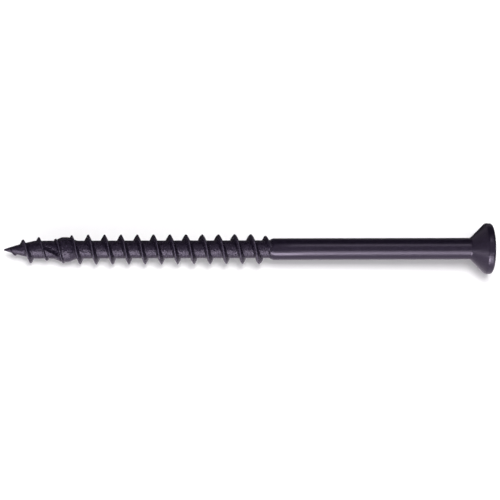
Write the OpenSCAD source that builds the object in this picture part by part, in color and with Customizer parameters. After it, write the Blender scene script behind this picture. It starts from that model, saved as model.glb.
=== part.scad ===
// Self-drilling countersunk wood screw with a part thread, a cutting point and a six-lobe recess.
// It lies on its thread and the rim of its head: X runs from the point to the head, Z is up.

/* [Screw] */
// Length from the point to the flat of the head
screw_length = 80; // [68:1:140]
// Length from the point to the shoulder of the plain shank
thread_length = 43.8; // [34:0.1:50]
// Diameter of the plain shank
shank_d = 3.55; // [3.4:0.05:4.2]

/* [Thread] */
// Diameter over the thread crests
thread_d = 4.9; // [4.4:0.1:5.6]
// Diameter of the core between the crests
core_d = 2.92; // [2.6:0.02:3.2]
// Advance in one turn of the single right-hand start
pitch = 2.65; // [2.4:0.01:3]
// Width of the thread where it leaves the core
thread_foot = 1.26; // [0.9:0.02:1.4]
// Width of the thread at its crest
thread_crest = 0.16; // [0.1:0.02:0.3]
// Distance of the crest from the point on the side that faces down
thread_phase = 2.09; // [0:0.01:3]
// Length over which the last turn sinks into the shoulder
runout_length = 1; // [0.8:0.1:2.4]

/* [Point] */
// Length of the tapered point
point_length = 5; // [4:0.1:6]
// Diameter of the blunt end of the point
point_tip_d = 0.24; // [0.1:0.02:0.4]
// Distance from the point where the thread starts
thread_start = 0.6; // [0.4:0.1:1.4]
// Length over which the thread rises from the point to its full height
thread_rise = 3.6; // [3:0.1:6]

/* [Cutting section] */
// Distance of the thread's lowest turn from the point
waist_place = 8.5; // [7:0.1:11]
// Length over which the thread fades into its lowest turn
waist_fade = 4.8; // [3:0.1:5]
// Length over which the thread grows again behind its lowest turn
waist_growth = 4; // [3:0.1:5]
// Height of the thread at its lowest turn
waist_height = 0.08; // [0:0.02:0.3]
// Diameter of the swelling behind the cutting gashes
barrel_d = 4.04; // [3.6:0.02:4.4]
// Distance of the middle of the swelling from the point
barrel_place = 9.9; // [9:0.1:12]
// Length of the swelling
barrel_length = 4.2; // [3:0.1:5]
// Number of cutting gashes round the core
gash_count = 2; // [1:1:3]
// Distance of the gashes from the point
gash_place = 7.75; // [7:0.05:9]
// Length of each gash along its own bottom
gash_length = 2.9; // [2.5:0.1:4.5]
// Depth of each gash below the core
gash_depth = 0.38; // [0.2:0.02:0.6]
// Lean of the gashes from the screw's axis
gash_lean = 26; // [20:1:45]
// Turn of the first gash round the core from the side that faces down
gash_turn = 225; // [0:1:360]

/* [Head] */
// Largest diameter of the head
head_d = 8.4; // [7.6:0.1:9.6]
// Full angle of the countersunk cone
head_angle = 90; // [80:1:100]
// Height of the rim between the cone and the flat of the head
rim_height = 1.1; // [0.9:0.05:1.5]
// Radius of the rim's edge towards the cone
rim_round = 1.1; // [0.6:0.05:1.4]
// Radius of the rim's edge towards the flat
face_round = 0.3; // [0.2:0.05:0.5]
// Radius of the fillet between the shank and the cone
neck_round = 0.5; // [0.2:0.1:1.5]

/* [Recess] */
// Point-to-point width of the six-lobe recess
recess_d = 4.5; // [3.9:0.05:5]
// Width across the flanks of the recess
recess_flank_d = 3.26; // [2.8:0.02:3.4]
// Radius of each lobe
lobe_r = 0.38; // [0.3:0.01:0.45]
// Depth of the recess down to the foot of its flanks
recess_depth = 2.2; // [1.6:0.1:2.6]
// Full angle of the cone at the bottom of the recess
recess_bottom_angle = 140; // [120:5:160]
// Width of the flat ring between the flanks of the recess and the cone at its bottom
bottom_land = 0.1; // [0.05:0.05:0.3]

/* [Shoulder] */
// Radial height of the step where the core meets the shoulder
shoulder_step = 0.12; // [0.08:0.01:0.2]
// Length of the chamfer from the shoulder up to the shank
shoulder_chamfer = 0.5; // [0.3:0.05:0.8]

/* [Hidden] */
$fn = 96;
lobes = 6;
turn_steps = 28;            // facets round one turn of the thread
seat_depth = 0.25;          // how far the core reaches into the shank behind the shoulder

core_r = core_d / 2;
thread_r = thread_d / 2;
shank_r = shank_d / 2;
head_r = head_d / 2;
shoulder_r = core_r + shoulder_step;
skin_end = thread_length - shoulder_chamfer + seat_depth;
runout_end = thread_length - shoulder_chamfer;

// Offsets from the crest line of the points along one pitch, each with its share of the thread's height
flank = (thread_foot - thread_crest) / 2;
root = pitch - thread_foot;
PROFILE = [
    [-thread_crest / 2 - flank, 0],
    [-thread_crest / 2 - flank / 2, 0.56],
    [-thread_crest / 2, 1],
    [thread_crest / 2, 1],
    [thread_crest / 2 + flank, 0],
    [thread_crest / 2 + flank + root / 3, 0],
    [thread_crest / 2 + flank + root * 2 / 3, 0]
];
rows = len(PROFILE);
first_step = -2 * turn_steps;
last_step = (ceil(skin_end / pitch) + 1) * turn_steps;

function smooth(t) = let (u = min(1, max(0, t))) u * u * (3 - 2 * u);

// Radius of the core without its thread at a distance z from the point
function taper(z) = let (t = min(1, z / point_length)) t * (1.25 - 0.25 * t);
function swelling(z) = smooth(1.2 - abs(z - barrel_place) * 2.4 / barrel_length);
function core_radius(z) =
    point_tip_d / 2 + (core_r - point_tip_d / 2) * taper(z) + (barrel_d / 2 - core_r) * swelling(z);

// Share of the full thread height at a distance z from the point
function rise(z) = min(1, max(0, (z - thread_start) / thread_rise));
function waist(z) = max(
    waist_height / (thread_r - core_r),
    min(1, z < waist_place ? (waist_place - z) / waist_fade : pow((z - waist_place) / waist_growth, 2))
);
function runout(z) = smooth((runout_end - z) / runout_length);
function thread_height(z) =
    min((thread_r - core_r) * rise(z) * waist(z) * runout(z), thread_r - core_radius(z));

// Point of the threaded skin: step runs round the helix, row runs along one pitch
function along(step, row) =
    min(skin_end, max(0, thread_phase - pitch + pitch * (step + 0.5) / turn_steps + PROFILE[row][0]));
function skin_point(step, row) =
    let (
        z = along(step, row),
        r = core_radius(z) + PROFILE[row][1] * max(0, thread_height(z)),
        turn = 360 * ((step - first_step) % turn_steps + 0.5) / turn_steps
    )
    [r * cos(turn), r * sin(turn), z];

// Index of a skin point, where the row past the last one is the first row of the next turn
function skin_index(step, row) =
    row < rows ? (step - first_step) * rows + row : skin_index(step + turn_steps, row - rows);

function open_triangle(points, face) =
    points[face[0]] != points[face[1]]
    && points[face[1]] != points[face[2]]
    && points[face[2]] != points[face[0]];

// Threaded core from the point into the shank, as one closed skin
module threaded_core() {
    points = concat(
        [for (step = [first_step : last_step + turn_steps], row = [0 : rows - 1]) skin_point(step, row)],
        [[0, 0, 0], [0, 0, skin_end]]
    );
    tip_centre = len(points) - 2;
    end_centre = len(points) - 1;
    sides = [
        for (step = [first_step : last_step - 1], row = [0 : rows - 1])
            let (
                a = skin_index(step, row),
                b = skin_index(step + 1, row),
                c = skin_index(step + 1, row + 1),
                d = skin_index(step, row + 1)
            )
            each [[a, c, b], [a, d, c]]
    ];
    caps = [
        for (step = [0 : turn_steps - 1])
            each [
                [tip_centre, skin_index(first_step + step, 0), skin_index(first_step + step + 1, 0)],
                [end_centre, skin_index(last_step + step + 1, 0), skin_index(last_step + step, 0)]
            ]
    ];
    polyhedron(points, [for (face = concat(sides, caps)) if (open_triangle(points, face)) face]);
}

// Places along the axis, measured from the point
face_z = screw_length;
rim_z = face_z - rim_height;
cone_slope = tan(head_angle / 2);
neck_z = rim_z - (head_r - shank_r) / cone_slope;

// Half section of the shoulder, shank and head
module turned_section() {
    difference() {
        polygon([
            [0, runout_end],
            [shoulder_r, runout_end],
            [shank_r, thread_length],
            [shank_r, neck_z],
            [head_r, rim_z],
            [head_r, face_z],
            [0, face_z]
        ]);
        rim_relief();
        face_relief();
    }
    neck_fillet();
}

// Corner between the cone and the rim that the rounding takes away
module rim_relief() {
    reach = rim_round * tan(head_angle / 4);
    centre = [head_r - rim_round, rim_z + reach];
    foot = [head_r - reach * sin(head_angle / 2), rim_z - reach * cos(head_angle / 2)];
    difference() {
        polygon([centre, foot, [head_r, rim_z] + [0.1, -0.1], [head_r + 0.1, rim_z + reach]]);
        translate(centre) circle(r = rim_round);
    }
}

// Corner between the rim and the flat of the head that the rounding takes away
module face_relief() {
    difference() {
        translate([head_r - face_round, face_z - face_round]) square(face_round + 0.1);
        translate([head_r - face_round, face_z - face_round]) circle(r = face_round);
    }
}

// Fillet that fills the inner corner between the shank and the cone
module neck_fillet() {
    reach = neck_round * tan(head_angle / 4);
    centre = [shank_r + neck_round, neck_z - reach];
    difference() {
        polygon([
            [shank_r - 0.1, neck_z - reach],
            centre,
            [shank_r + reach * sin(head_angle / 2), neck_z + reach * cos(head_angle / 2)],
            [shank_r - 0.1, neck_z + reach]
        ]);
        translate(centre) circle(r = neck_round);
    }
}

module shank_and_head() {
    rotate_extrude() turned_section();
}

// Outline of the six-lobe recess
module recess_outline() {
    lobe_place = recess_d / 2 - lobe_r;
    difference() {
        union() {
            circle(r = lobe_place);
            for (i = [0 : lobes - 1])
                rotate(i * 360 / lobes) translate([lobe_place, 0]) circle(r = lobe_r);
        }
        for (i = [0 : lobes - 1])
            rotate((i + 0.5) * 360 / lobes) translate([recess_flank_d / 2 + lobe_place / 2, 0])
                circle(r = lobe_place / 2);
    }
}

module recess() {
    bottom_r = recess_flank_d / 2 - bottom_land;
    cone_height = bottom_r / tan(recess_bottom_angle / 2);
    translate([0, 0, face_z - recess_depth]) linear_extrude(recess_depth + 1) recess_outline();
    translate([0, 0, face_z - recess_depth - cone_height]) cylinder(h = cone_height, r1 = 0, r2 = bottom_r);
}

// One straight gash: a steep cutting lip and a flatter flank that meet at the bottom
module gash(turn) {
    depth_r = core_r - gash_depth;
    reach = thread_d;
    rotate(turn) translate([depth_r, 0, gash_place]) rotate([-gash_lean, 0, 0])
        translate([0, 0, -gash_length / 2]) linear_extrude(gash_length)
            polygon([[0, 0], [reach, reach * 0.25], [reach, -reach * 0.9]]);
}

module screw() {
    difference() {
        union() {
            threaded_core();
            shank_and_head();
        }
        for (i = [0 : gash_count - 1]) gash(gash_turn + i * 360 / gash_count);
        recess();
    }
}

// The screw rests on the rim of its head and on the first full crest behind the cutting section.
// The crest has a facet there that faces straight down.
support_r = thread_r * cos(180 / turn_steps);
support_turn = ceil((waist_place + waist_growth - thread_phase) / pitch);
support_z = thread_phase + support_turn * pitch;
crown_z = rim_z + rim_round * tan(head_angle / 4);
lie_tilt = atan((head_r - support_r) / (crown_z - support_z));
axis_height = support_r * cos(lie_tilt) - support_z * sin(lie_tilt);

module wood_screw() {
    color([0.2, 0.17, 0.24])
        translate([-screw_length / 2 * cos(lie_tilt), 0, axis_height]) rotate([0, 90 - lie_tilt, 0]) screw();
}

wood_screw();
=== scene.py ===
import math

import bpy
from mathutils import Matrix, Vector


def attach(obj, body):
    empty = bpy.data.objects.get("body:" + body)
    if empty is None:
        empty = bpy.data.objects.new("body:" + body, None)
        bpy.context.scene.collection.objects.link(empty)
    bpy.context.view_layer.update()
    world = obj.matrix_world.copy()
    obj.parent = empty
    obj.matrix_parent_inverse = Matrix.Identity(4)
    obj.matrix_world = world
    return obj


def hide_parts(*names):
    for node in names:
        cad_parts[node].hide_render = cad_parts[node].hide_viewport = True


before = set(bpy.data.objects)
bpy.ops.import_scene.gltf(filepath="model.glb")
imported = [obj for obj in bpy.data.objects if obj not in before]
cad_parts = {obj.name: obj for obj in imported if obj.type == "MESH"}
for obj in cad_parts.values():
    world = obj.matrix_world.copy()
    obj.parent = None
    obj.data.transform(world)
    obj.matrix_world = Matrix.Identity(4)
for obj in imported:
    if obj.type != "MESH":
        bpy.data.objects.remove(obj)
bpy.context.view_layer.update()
mm = 0.001
print("frame loaded")

# The screw's own measures, in millimetres from the point along its axis, angles in degrees.
# They follow the solid that this mesh replaces. The low stretch of the thread, called the waist,
# the gashes and the rounding of the head are tuned finer than there.
size = {
    "length": 80.0,
    "threadLength": 43.8,
    "shankRadius": 1.775,
    "threadRadius": 2.45,
    "coreRadius": 1.46,
    "pitch": 2.65,
    "threadPhase": 2.09,
    "runoutLength": 1.0,
    "pointLength": 5.0,
    "pointBulge": 0.25,
    "tipRadius": 0.12,
    "tipReach": 0.02,
    "threadStart": 0.6,
    "threadRise": 3.6,
    "waistPlace": 8.5,
    "waistFade": 4.8,
    "waistGrowth": 4.0,
    "waistPower": 1.3,
    "waistHeight": 0.2,
    "barrelRadius": 2.02,
    "barrelPlace": 9.9,
    "barrelLength": 4.2,
    "barrelFlat": 0.35,
    "shoulderStep": 0.12,
    "shoulderChamfer": 0.5,
    "shoulderEdge": 0.03,
    "shoulderEdgeReach": 0.09,
    "headRadius": 4.2,
    "headHalfAngle": 45.0,
    "rimHeight": 1.1,
    "rimRound": 0.6,
    "faceRound": 0.4,
    "neckRound": 0.5,
    "recessRadius": 2.25,
    "recessFlank": 1.63,
    "lobeRadius": 0.38,
    "recessDepth": 2.2,
    "recessFloorRadius": 1.53,
    "recessFloorDrop": 0.557,
    "recessEdge": 0.12,
    "lobes": 6,
}

runoutEnd = size["threadLength"] - size["shoulderChamfer"]
fullHeight = size["threadRadius"] - size["coreRadius"]


def smooth(t):
    t = min(1.0, max(0.0, t))
    return t * t * (3 - 2 * t)


# Share that rises smoothly from 0 to 1 between two places
def rises(place, low, high):
    return smooth((place - low) / (high - low))


def coreRadius(z):
    t = min(1.0, z / size["pointLength"])
    taper = t * (1 + size["pointBulge"] * (1 - t))
    fromBarrel = abs(z - size["barrelPlace"])
    swelling = rises(-fromBarrel, -size["barrelLength"] / 2, -size["barrelFlat"])
    return (size["tipRadius"] + (size["coreRadius"] - size["tipRadius"]) * taper
            + (size["barrelRadius"] - size["coreRadius"]) * swelling)


# Height of the thread over the core. It dwindles to the waist and grows again over the barrel.
def threadHeight(z):
    rise = min(1.0, max(0.0, (z - size["threadStart"]) / size["threadRise"]))
    fromWaist = z - size["waistPlace"]
    if fromWaist < 0:
        waist = min(1.0, -fromWaist / size["waistFade"])
    else:
        waist = min(1.0, (fromWaist / size["waistGrowth"]) ** size["waistPower"])
    waist = max(waist, size["waistHeight"] / fullHeight)
    runout = smooth((runoutEnd - z) / size["runoutLength"])
    return max(0.0, min(fullHeight * rise * waist * runout, size["threadRadius"] - coreRadius(z)))


# The thread's section. Each flank has its foot's distance from the crest line, the power that
# shapes it, and what both and the crest's half width gain where the flanks bow out towards the
# shank and on the last turn. A low thread is narrow too, with a fine groove on either side.
section = {
    "crest": 0.11,
    "crestDrop": 0.03,
    "front": {"foot": 0.50, "footBowed": -0.05, "footLast": 0.0, "power": 0.85,
              "powerBowed": -0.45, "powerLast": 0.0, "crestLast": 0.0},
    "back": {"foot": 0.45, "footBowed": 0.0, "footLast": 0.2, "power": 0.9,
             "powerBowed": -0.25, "powerLast": -0.25, "crestLast": 0.22},
    "bowed": (15.0, 38.8),
    "last": (40.8, 42.4),
    "leastFoot": 0.25,
    "grooveWidth": 0.2,
    "grooveDepth": 0.7,
    "grooveBelow": 0.3,
    "grooveFrom": 3.0,
    "reach": 0.80,
}


# Share of the thread's height at an offset along the axis from its crest line
def threadShare(offset, height, z):
    bowed = rises(z, *section["bowed"])
    last = rises(z, *section["last"])
    low = height / fullHeight
    flank = section["front"] if offset < 0 else section["back"]
    crest = section["crest"] / 2 + flank["crestLast"] * last
    foot = flank["foot"] + flank["footBowed"] * bowed + flank["footLast"] * last
    power = flank["power"] + flank["powerBowed"] * bowed + flank["powerLast"] * last
    foot = crest + (foot - crest) * max(section["leastFoot"], last, low)
    gap = abs(offset)
    if gap <= crest:
        return 1.0 - section["crestDrop"] * (gap / crest) ** 2
    if gap < foot:
        return (1.0 - section["crestDrop"]) * ((foot - gap) / (foot - crest)) ** power
    beyond = (gap - foot) / section["grooveWidth"]
    grooved = beyond < 1 and low < section["grooveBelow"] and z > section["grooveFrom"]
    return -section["grooveDepth"] * math.sin(math.pi * beyond) if grooved else 0.0


# A gash is the space under the plane of its steep lip and over the plane of its long flank.
# Each slope says how far its plane leans from the radius. The cut threw up a burr along the lip.
gash = {
    "place": 7.75,
    "length": 2.9,
    "depth": 0.48,
    "lean": 32.0,
    "rise": 6.0,
    "turns": (221.0, 41.0),
    "fade": 0.4,
    "lipSlope": 0.65,
    "flankSlope": 0.8,
    "burrWidth": 0.14,
    "burrHeight": 0.08,
    "burrFade": 0.2,
}


def gashPlanes(turn):
    lean = (Matrix.Rotation(math.radians(-gash["lean"]), 4, "X")
            @ Matrix.Rotation(math.radians(gash["rise"]), 4, "Y"))
    place = Matrix.Translation((size["coreRadius"] - gash["depth"], 0, gash["place"]))
    whole = Matrix.Rotation(math.radians(turn), 4, "Z") @ place @ lean
    turned = whole.to_3x3()
    lip = turned @ Vector((-gash["lipSlope"], 1, 0)).normalized()
    flank = turned @ Vector((gash["flankSlope"], 1, 0)).normalized()
    along = turned @ Vector((0, 0, 1))
    return whole.translation, lip, flank, along


gashes = [gashPlanes(turn) for turn in gash["turns"]]
nearlyLevel = 1e-9


# Radius at which a ray from the axis leaves the steel where a gash takes some of it away,
# and the share of the burr there
def cutByGashes(radius, direction, z):
    burr = 0.0
    for bottom, lip, flank, along in gashes:
        if abs(z - bottom.z) > gash["length"]:
            continue
        foot = Vector((0, 0, z)) - bottom
        enter, leave = 0.0, math.inf
        for start, run in ((-lip.dot(foot), -lip.dot(direction)),
                           (flank.dot(foot), flank.dot(direction))):
            if run > nearlyLevel:
                enter = max(enter, -start / run)
            elif run < -nearlyLevel:
                leave = min(leave, -start / run)
            elif start < 0:
                leave = 0.0
        surface = foot + direction * radius
        if enter >= radius or leave < radius:
            outside = lip.dot(surface)
            if 0 <= outside < gash["burrWidth"] and direction.dot(bottom) > 0:
                reach = abs(along.dot(surface)) / (gash["length"] / 2)
                burr = (1 - outside / gash["burrWidth"]) * smooth((1 - reach) / gash["burrFade"])
            continue
        reach = abs(along.dot(foot + direction * enter)) / (gash["length"] / 2)
        radius += (enter - radius) * smooth((1 - reach) / gash["fade"])
    return radius + burr * gash["burrHeight"], burr


# Outline of the six-lobe recess: the radius at a turn round the axis
def recessOutline(turn, grow=0.0):
    step = 2 * math.pi / size["lobes"]
    fromLobe = abs((turn + step / 2) % step - step / 2)
    fromValley = step / 2 - fromLobe
    lobePlace = size["recessRadius"] - size["lobeRadius"]
    outer = lobePlace
    side = lobePlace * math.sin(fromLobe)
    if side < size["lobeRadius"]:
        outer = lobePlace * math.cos(fromLobe) + math.sqrt(size["lobeRadius"] ** 2 - side ** 2)
    valleyRadius = lobePlace / 2
    valleyPlace = size["recessFlank"] + valleyRadius
    side = valleyPlace * math.sin(fromValley)
    if side < valleyRadius:
        inner = valleyPlace * math.cos(fromValley) - math.sqrt(valleyRadius ** 2 - side ** 2)
        outer = min(outer, inner)
    return outer + grow


# How fine the mesh is: facets round a turn, rows along each stretch of one pitch, facets of the
# head for one of the thread, rows in an arc and along the shank, where the rings of the face and
# of the recess's wall lie, and the angle in degrees from which an edge is sharp
detail = {
    "turnSteps": 120,
    "flankRows": 10,
    "crestRows": 3,
    "rootRows": 7,
    "headFactor": 3,
    "arcRows": 10,
    "shankRows": 6,
    "faceShares": (0.35, 0.7, 1.0),
    "edgeRows": 4,
    "wallShares": (0.4, 0.8, 1.0),
    "sharpAngle": 38.0,
}


def spread(low, high, count):
    return [low + (high - low) * i / count for i in range(count)]


# Rings from the shoulder over the shank and head and down into the recess, each as a function
# that gives the radius at a turn, and a place
def turnedRings():
    half = math.radians(size["headHalfAngle"])
    top = size["length"]
    rim = top - size["rimHeight"]
    shank = size["shankRadius"]
    neck = rim - (size["headRadius"] - shank) / math.tan(half)
    outline = [(size["coreRadius"] + size["shoulderStep"], runoutEnd),
               (shank - size["shoulderEdge"], size["threadLength"] - size["shoulderEdgeReach"]),
               (shank, size["threadLength"])]

    def arc(centre, radius, fromAngle, toAngle):
        for i in range(detail["arcRows"] + 1):
            angle = fromAngle + (toAngle - fromAngle) * i / detail["arcRows"]
            outline.append((centre[0] + radius * math.cos(angle),
                            centre[1] + radius * math.sin(angle)))

    shankEnd = neck - size["neckRound"] * math.tan(half / 2)
    for place in spread(size["threadLength"], shankEnd, detail["shankRows"])[1:]:
        outline.append((shank, place))
    arc((shank + size["neckRound"], shankEnd), size["neckRound"], math.pi, math.pi - half)
    rimRound, faceRound = size["rimRound"], size["faceRound"]
    rimReach = rimRound * math.tan(half / 2)
    arc((size["headRadius"] - rimRound, rim + rimReach), rimRound, -half, 0)
    flat = size["headRadius"] - faceRound
    arc((flat, top - faceRound), faceRound, 0, math.pi / 2)
    rings = [(lambda turn, r=r: r, z) for r, z in outline]
    edge = size["recessEdge"]
    for share in detail["faceShares"]:
        rings.append((lambda turn, s=share: flat + (recessOutline(turn, edge) - flat) * s, top))
    for i in range(1, detail["edgeRows"] + 1):
        angle = math.pi / 2 * i / detail["edgeRows"]
        rings.append((lambda turn, a=angle: recessOutline(turn, edge * (1 - math.sin(a))),
                      top - edge * (1 - math.cos(angle))))
    for share in detail["wallShares"]:
        rings.append((recessOutline, top - edge - (size["recessDepth"] - edge) * share))
    rings.append((lambda turn: size["recessFloorRadius"], top - size["recessDepth"]))
    return rings


# Closed mesh of the whole screw, its axis along Z with the point at zero, in millimetres
def screwMesh():
    steps = detail["turnSteps"]
    reach, crest = section["reach"], section["crest"] / 2
    offsets = (spread(-reach, -crest, detail["flankRows"])
               + spread(-crest, crest, detail["crestRows"])
               + spread(crest, reach, detail["flankRows"])
               + spread(reach, size["pitch"] - reach, detail["rootRows"]))
    rows = len(offsets)
    vertices, faces, highlightShares, known = [], [], [], {}

    def addVertex(x, y, z, share=0.0):
        vertices.append((x, y, z))
        highlightShares.append(share)
        return len(vertices) - 1

    def skinVertex(step, row):
        step, row = step + (row // rows) * steps, row % rows
        z = size["threadPhase"] - size["pitch"] + size["pitch"] * step / steps + offsets[row]
        z = min(runoutEnd, max(0.0, z))
        key = (step % steps, round(z, 6))
        if key not in known:
            turn = 2 * math.pi * (step % steps) / steps
            direction = Vector((math.cos(turn), math.sin(turn), 0))
            height = threadHeight(z)
            onRidge = threadShare(offsets[row], height, z)
            height *= onRidge
            radius, burr = cutByGashes(coreRadius(z) + height, direction, z)
            # This share, highest on the crests and the burr, masks the painted highlight in the
            # coating
            share = max(burr, height / fullHeight, onRidge)
            known[key] = addVertex(radius * direction.x, radius * direction.y, z, share)
        return known[key]

    def addFace(*corners):
        kept = list(dict.fromkeys(corners))
        if len(kept) > 2:
            faces.append(kept)

    firstStep = -2 * steps
    lastStep = (math.ceil(runoutEnd / size["pitch"]) + 1) * steps
    for step in range(firstStep, lastStep):
        for row in range(rows):
            addFace(skinVertex(step, row), skinVertex(step + 1, row),
                    skinVertex(step + 1, row + 1), skinVertex(step, row + 1))
    tip = addVertex(0, 0, -size["tipReach"])
    for i in range(steps):
        addFace(tip, known[((i + 1) % steps, 0.0)], known[(i, 0.0)])

    def addRing(count, radiusAt, z):
        ring = []
        for i in range(count):
            turn = 2 * math.pi * i / count
            radius = radiusAt(turn)
            ring.append(addVertex(radius * math.cos(turn), radius * math.sin(turn), z))
        return ring

    def joinRings(low, high):
        factor = len(high) // len(low)
        for i in range(len(low)):
            a, b = low[i], low[(i + 1) % len(low)]
            outer = [high[(i * factor + j) % len(high)] for j in range(factor + 1)]
            if factor == 1:
                addFace(a, b, outer[1], outer[0])
                continue
            half = factor // 2
            for j in range(factor):
                addFace(a if j <= half else b, outer[j + 1], outer[j])
            addFace(a, b, outer[half + 1])

    ring = [known[(i, round(runoutEnd, 6))] for i in range(steps)]
    for radiusAt, z in turnedRings():
        count = steps * detail["headFactor"] if z > runoutEnd else steps
        nextRing = addRing(count, radiusAt, z)
        joinRings(ring, nextRing)
        ring = nextRing
    centre = addVertex(0, 0, size["length"] - size["recessDepth"] - size["recessFloorDrop"])
    for i in range(len(ring)):
        addFace(ring[i], ring[(i + 1) % len(ring)], centre)
    return vertices, faces, highlightShares


# How the screw lies, on the rim of its head and on one crest of the thread: which crest bears it,
# at what radius, and how far over the rim's foot the head does
lie = {"supportTurn": 4, "supportRadius": 2.4346, "headReach": 0.4556}


def lyingMatrix():
    support = size["threadPhase"] + lie["supportTurn"] * size["pitch"]
    crown = size["length"] - size["rimHeight"] + lie["headReach"]
    tilt = math.atan((size["headRadius"] - lie["supportRadius"]) / (crown - support))
    height = lie["supportRadius"] * math.cos(tilt) - support * math.sin(tilt)
    place = Matrix.Translation((-size["length"] / 2 * math.cos(tilt), 0, height))
    return Matrix.Scale(mm, 4) @ place @ Matrix.Rotation(math.pi / 2 - tilt, 4, "Y")


def makeScrew():
    vertices, faces, highlightShares = screwMesh()
    mesh = bpy.data.meshes.new("wood_screw_skin")
    mesh.from_pydata(vertices, [], faces)
    mesh.validate()
    mesh.transform(lyingMatrix())
    # The shares go to the coating, where they mask the painted highlight on the crests and the
    # burr
    share = mesh.attributes.new("threadShare", "FLOAT", "POINT")
    share.data.foreach_set("value", highlightShares)
    for polygon in mesh.polygons:
        polygon.use_smooth = True
    mesh.set_sharp_from_angle(angle=math.radians(detail["sharpAngle"]))
    screw = bpy.data.objects.new("coated_screw", mesh)
    bpy.context.collection.objects.link(screw)
    return screw


screw = makeScrew()
print("screw made:", len(screw.data.vertices), "vertices,", len(screw.data.polygons), "faces")


# A socket in a node tree, so that shader maths is written as plain expressions
class Signal:
    def __init__(self, tree, socket):
        self.tree = tree
        self.socket = socket

    def maths(self, operation, *values, clamp=False):
        node = self.tree.nodes.new("ShaderNodeMath")
        node.operation = operation
        node.use_clamp = clamp
        for slot, value in zip(node.inputs, values):
            if isinstance(value, Signal):
                self.tree.links.new(value.socket, slot)
            else:
                slot.default_value = value
        return Signal(self.tree, node.outputs[0])

    def __add__(self, other):
        return self.maths("ADD", self, other)

    def __radd__(self, other):
        return self.maths("ADD", other, self)

    def __sub__(self, other):
        return self.maths("SUBTRACT", self, other)

    def __rsub__(self, other):
        return self.maths("SUBTRACT", other, self)

    def __mul__(self, other):
        return self.maths("MULTIPLY", self, other)

    def __rmul__(self, other):
        return self.maths("MULTIPLY", other, self)

    def clamped(self):
        return self.maths("ADD", self, 0.0, clamp=True)


# A material's or a world's own node tree
class Graph:
    def __init__(self, owner):
        self.owner = owner
        owner.use_nodes = True
        self.tree = owner.node_tree
        self.tree.nodes.clear()

    # Any node: its type, its settings, which are set first, and what goes into its sockets,
    # by their names or as i and a number
    def node(self, kind, settings=None, out=0, **sockets):
        node = self.tree.nodes.new(kind)
        for name, value in (settings or {}).items():
            setattr(node, name, value)
        for name, value in sockets.items():
            place = int(name[1:]) if name[1:].isdigit() else name.replace("_", " ")
            if isinstance(value, Signal):
                self.tree.links.new(value.socket, node.inputs[place])
            else:
                node.inputs[place].default_value = value
        return Signal(self.tree, node.outputs[out]) if node.outputs else node

    # Share that grows smoothly from 0 to 1 between two values
    def grows(self, value, low, high):
        return self.node("ShaderNodeMapRange", {"interpolation_type": "SMOOTHSTEP"}, Value=value,
                         From_Min=low, From_Max=high)

    def mixed(self, share, first, second):
        return self.node("ShaderNodeMix", {"data_type": "RGBA"}, out=2, i0=share, i6=first,
                         i7=second)

    def finish(self, shader, kind="Material"):
        self.node("ShaderNodeOutput" + kind, Surface=shader)
        return self.owner


# Dark violet coating over steel: satin, mottled where the thread was rolled and faintly streaked
# along the shank. The crests and the burr's top are painted paler, a painted highlight for the
# light lines they catch. The rolled part ends and the head begins between two places, in metres.
# Mottle, streak and grain also say how much each one raises.
coating = {
    "dark": (0.0045, 0.0032, 0.0075, 1),
    "pale": (0.0098, 0.0070, 0.0148, 1),
    # Painted highlight: the paler colour laid on the crests and the burr's top
    "crest": (0.034, 0.029, 0.043, 1),
    "tint": (0.89, 0.77, 1.0, 1),
    "specular": 0.6,
    "roughness": 0.30,
    "rolledRoughness": -0.06,
    "mottleRoughness": 0.22,
    "plainRoughness": 0.3,
    "paleFrom": (0.35, 0.7),
    # Where on the thread's height share the painted highlight begins, and how fast it comes in
    "paintedHighlightFrom": 0.85,
    "paintedHighlightGain": 6,
    "mottleScale": 2900.0,
    "mottleDetail": 4.0,
    "mottleMix": 0.6,
    "streakScale": 3600.0,
    "streakStretch": (0.03, 1, 1),
    "grainScale": 6500.0,
    "fineDetail": 2.0,
    "rolledEnd": (0.0037, 0.0031),
    "headBegin": (0.0352, 0.0366),
    "headMottle": 0.15,
    "plainMottle": 0.01,
    "streak": 0.016,
    "grain": 0.03,
    "bump": 0.00016,
}


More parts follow.
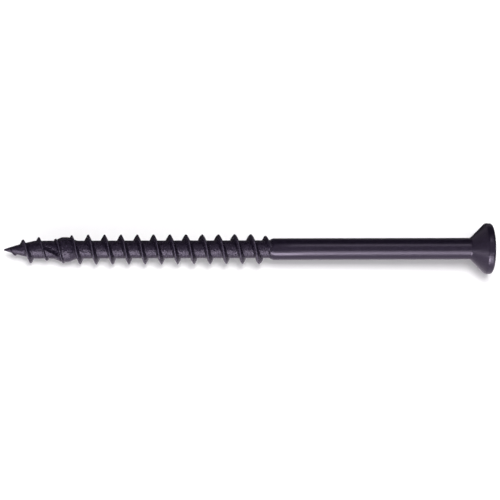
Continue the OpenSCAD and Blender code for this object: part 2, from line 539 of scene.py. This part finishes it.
def makeCoating():
    finish = Graph(bpy.data.materials.new("coatedSteel"))
    place = finish.node("ShaderNodeTexCoord", out=3)
    mottle = finish.node("ShaderNodeTexNoise", Vector=place, Scale=coating["mottleScale"],
                         Detail=coating["mottleDetail"], Roughness=coating["mottleMix"])
    drawn = finish.node("ShaderNodeMapping", Vector=place, Scale=coating["streakStretch"])
    streak = finish.node("ShaderNodeTexNoise", Vector=drawn, Scale=coating["streakScale"],
                         Detail=coating["fineDetail"])
    grain = finish.node("ShaderNodeTexNoise", Vector=place, Scale=coating["grainScale"],
                        Detail=coating["fineDetail"])
    along = finish.node("ShaderNodeSeparateXYZ", out=0, Vector=place)
    rolled = finish.grows(along, *coating["rolledEnd"])
    formed = rolled + coating["headMottle"] * finish.grows(along, *coating["headBegin"])
    # The thread's height share marks the crests and the burr, where the painted highlight goes
    share = finish.node("ShaderNodeAttribute", {"attribute_name": "threadShare"}, out=2)
    crest = ((share - coating["paintedHighlightFrom"]) * coating["paintedHighlightGain"]).clamped()
    ground = finish.mixed(finish.grows(mottle, *coating["paleFrom"]), coating["dark"],
                          coating["pale"])
    # Painted highlight: the crest colour laid over the mottled ground
    colour = finish.mixed(crest, ground, coating["crest"])
    uneven = (mottle - 0.5) * (formed + coating["plainRoughness"]) * coating["mottleRoughness"]
    roughness = coating["roughness"] + rolled * coating["rolledRoughness"] + uneven
    height = (mottle * (formed + coating["plainMottle"])
              + streak * (1 - rolled) * coating["streak"] + grain * coating["grain"])
    bump = finish.node("ShaderNodeBump", Strength=1.0, Distance=coating["bump"], Height=height)
    shader = finish.node("ShaderNodeBsdfPrincipled", Base_Color=colour, Roughness=roughness,
                         Normal=bump, Specular_IOR_Level=coating["specular"],
                         Specular_Tint=coating["tint"])
    return finish.finish(shader)


screw.data.materials.append(makeCoating())
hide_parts("wood_screw")
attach(screw, "root")
print("coating made")

# Plain white table, wide enough for every view and a hair under the frame's floor.
# The coat doesn't show it, because the surround below stands for it there.
table = {
    "half": 3.0,
    "drop": 0.00002,
    "colour": (0.90, 0.90, 0.90, 1),
    "roughness": 0.7,
    "specular": 0.1,
}


def makeFloor():
    half = table["half"]
    mesh = bpy.data.meshes.new("floor_sheet")
    mesh.from_pydata([(-half, -half, 0), (half, -half, 0), (half, half, 0), (-half, half, 0)],
                     [], [(0, 1, 2, 3)])
    floor = bpy.data.objects.new("floor", mesh)
    floor.location.z = -table["drop"]
    bpy.context.collection.objects.link(floor)
    finish = Graph(bpy.data.materials.new("paleTable"))
    shader = finish.node("ShaderNodeBsdfPrincipled", Base_Color=table["colour"],
                         Roughness=table["roughness"], Specular_IOR_Level=table["specular"])
    mesh.materials.append(finish.finish(shader))
    floor.visible_glossy = False


makeFloor()

# The camera looks down on the screw from its point's side, at a place along its axis and a
# little below it. Lengths in millimetres, angles in degrees, the clip in metres.
view = {
    "elevation": 60.0,
    "tipAngle": 4.6,
    "distance": 304.0,
    "lens": 133.73,
    "sensor": 36.0,
    "clip": (0.01, 20.0),
    "aimAlong": 39.955,
    "aimBelow": 0.13,
    "roll": 0.136,
}


def makeCamera():
    place = lyingMatrix()
    axis = (place.to_3x3() @ Vector((0, 0, 1))).normalized()
    aim = place @ Vector((0, 0, view["aimAlong"]))
    rise = math.radians(view["elevation"])
    front = Vector((0, -math.cos(rise), math.sin(rise)))
    front = (front - axis * front.dot(axis)).normalized()
    lean = math.radians(view["tipAngle"])
    back = front * math.cos(lean) - axis * math.sin(lean)
    right = (axis - back * axis.dot(back)).normalized()
    up = back.cross(right)
    aim -= up * view["aimBelow"] * mm
    turned = Matrix((right, up, back)).transposed().to_4x4()
    data = bpy.data.cameras.new("view")
    data.lens = view["lens"]
    data.sensor_width = view["sensor"]
    data.clip_start, data.clip_end = view["clip"]
    camera = bpy.data.objects.new("view", data)
    camera.matrix_world = (Matrix.Translation(aim + back * view["distance"] * mm) @ turned
                           @ Matrix.Rotation(math.radians(-view["roll"]), 4, "Z"))
    bpy.context.collection.objects.link(camera)
    bpy.context.scene.camera = camera


makeCamera()

# Soft studio light. Each lamp stands at a place and faces the point of the X axis that is at aim.
# Some show in the coat, as lines along the screw and on the rim. The rest only light the table.
lights = {
    "overhead": {"place": (0.06, 0.104, 0.59), "aim": 0.06, "wide": 0.20, "tall": 0.17,
                 "power": 0.25},
    "front": {"place": (0.1, -0.53, 0.175), "aim": 0.1, "wide": 0.10, "tall": 0.31,
              "power": 0.67},
    "frontLeft": {"place": (-0.2, -0.54, 0.05), "aim": -0.2, "wide": 0.5, "tall": 0.20,
                  "power": 4.1},
    "frontRight": {"place": (0.24, -0.54, 0.025), "aim": 0.24, "wide": 0.10, "tall": 0.26,
                   "power": 0.52},
    "side": {"place": (-0.46, -0.22, 0.02), "aim": 0, "wide": 0.14, "tall": 0.08, "power": 0.2},
    "fill": {"place": (0, -0.9, 0.55), "aim": 0, "wide": 1.2, "tall": 0.4, "power": 2.6},
    "key": {"place": (0, -0.13, 1.19), "aim": 0, "wide": 0.6, "tall": 0.6, "power": 10.0},
    "sky": {"place": (0, -0.2, 1.18), "aim": 0, "wide": 2.6, "tall": 2.6, "power": 7.2},
}
outOfCoat = ("fill", "key", "sky")


def makeLights():
    for name, light in lights.items():
        data = bpy.data.lights.new(name, "AREA")
        data.shape = "RECTANGLE"
        data.size, data.size_y = light["wide"], light["tall"]
        data.energy = light["power"]
        lamp = bpy.data.objects.new(name, data)
        lamp.location = light["place"]
        facing = Vector((light["aim"], 0, 0)) - lamp.location
        lamp.rotation_euler = facing.to_track_quat("-Z", "Y").to_euler()
        lamp.visible_glossy = name not in outOfCoat
        bpy.context.collection.objects.link(lamp)


# What the coat shows of the room: its strength in front, behind, and on the table before the
# screw, left of it, far behind and close behind, where the screw's own shade lies.
# Each edge says between which directions one part gives way to the next, along X, Y or Z.
surround = {
    "front": 0.37,
    "back": 0.02,
    "frontTable": 0.88,
    "leftTable": 0.8,
    "backTable": 0.60,
    "shade": 0.03,
    "colour": (0.96, 0.88, 1.0, 1),
    "backEdgeY": (-0.2, 0.4),
    "tableEdgeZ": (0.0, -0.15),
    "leftEdgeX": (-0.4, -0.9),
    "leftEdgeZ": (0.5, 0.15),
    "shadeEdgeY": (0.1, 0.45),
    "shadeEdgeZ": (-0.88, -0.78),
    "backTableEdgeZ": (-0.45, -0.1),
}


def makeSurround():
    room = Graph(bpy.data.worlds.new("studio"))
    direction = room.node("ShaderNodeTexCoord", out=0)
    x, y, z = [room.node("ShaderNodeSeparateXYZ", out=i, Vector=direction) for i in range(3)]

    def mixed(share, first, second):
        return first + share * (second - first)

    behind = room.grows(y, *surround["backEdgeY"])
    below = room.grows(z, *surround["tableEdgeZ"])
    left = room.grows(x, *surround["leftEdgeX"]) * room.grows(z, *surround["leftEdgeZ"])
    shaded = room.grows(y, *surround["shadeEdgeY"]) * room.grows(z, *surround["shadeEdgeZ"])
    farBehind = room.grows(z, *surround["backTableEdgeZ"])
    above = mixed(behind * (1 - left), surround["front"], surround["back"])
    tableFront = mixed(left, surround["frontTable"], surround["leftTable"])
    tableBack = mixed(farBehind, surround["shade"], surround["backTable"])
    strength = mixed(below, above, mixed(shaded, tableFront, tableBack))
    shown = room.node("ShaderNodeBackground", Color=surround["colour"], Strength=strength)
    bpy.context.scene.world = room.finish(shown, "World")
    bpy.context.scene.view_settings.view_transform = "Standard"


makeSurround()
makeLights()
print("stage, camera and lights made")
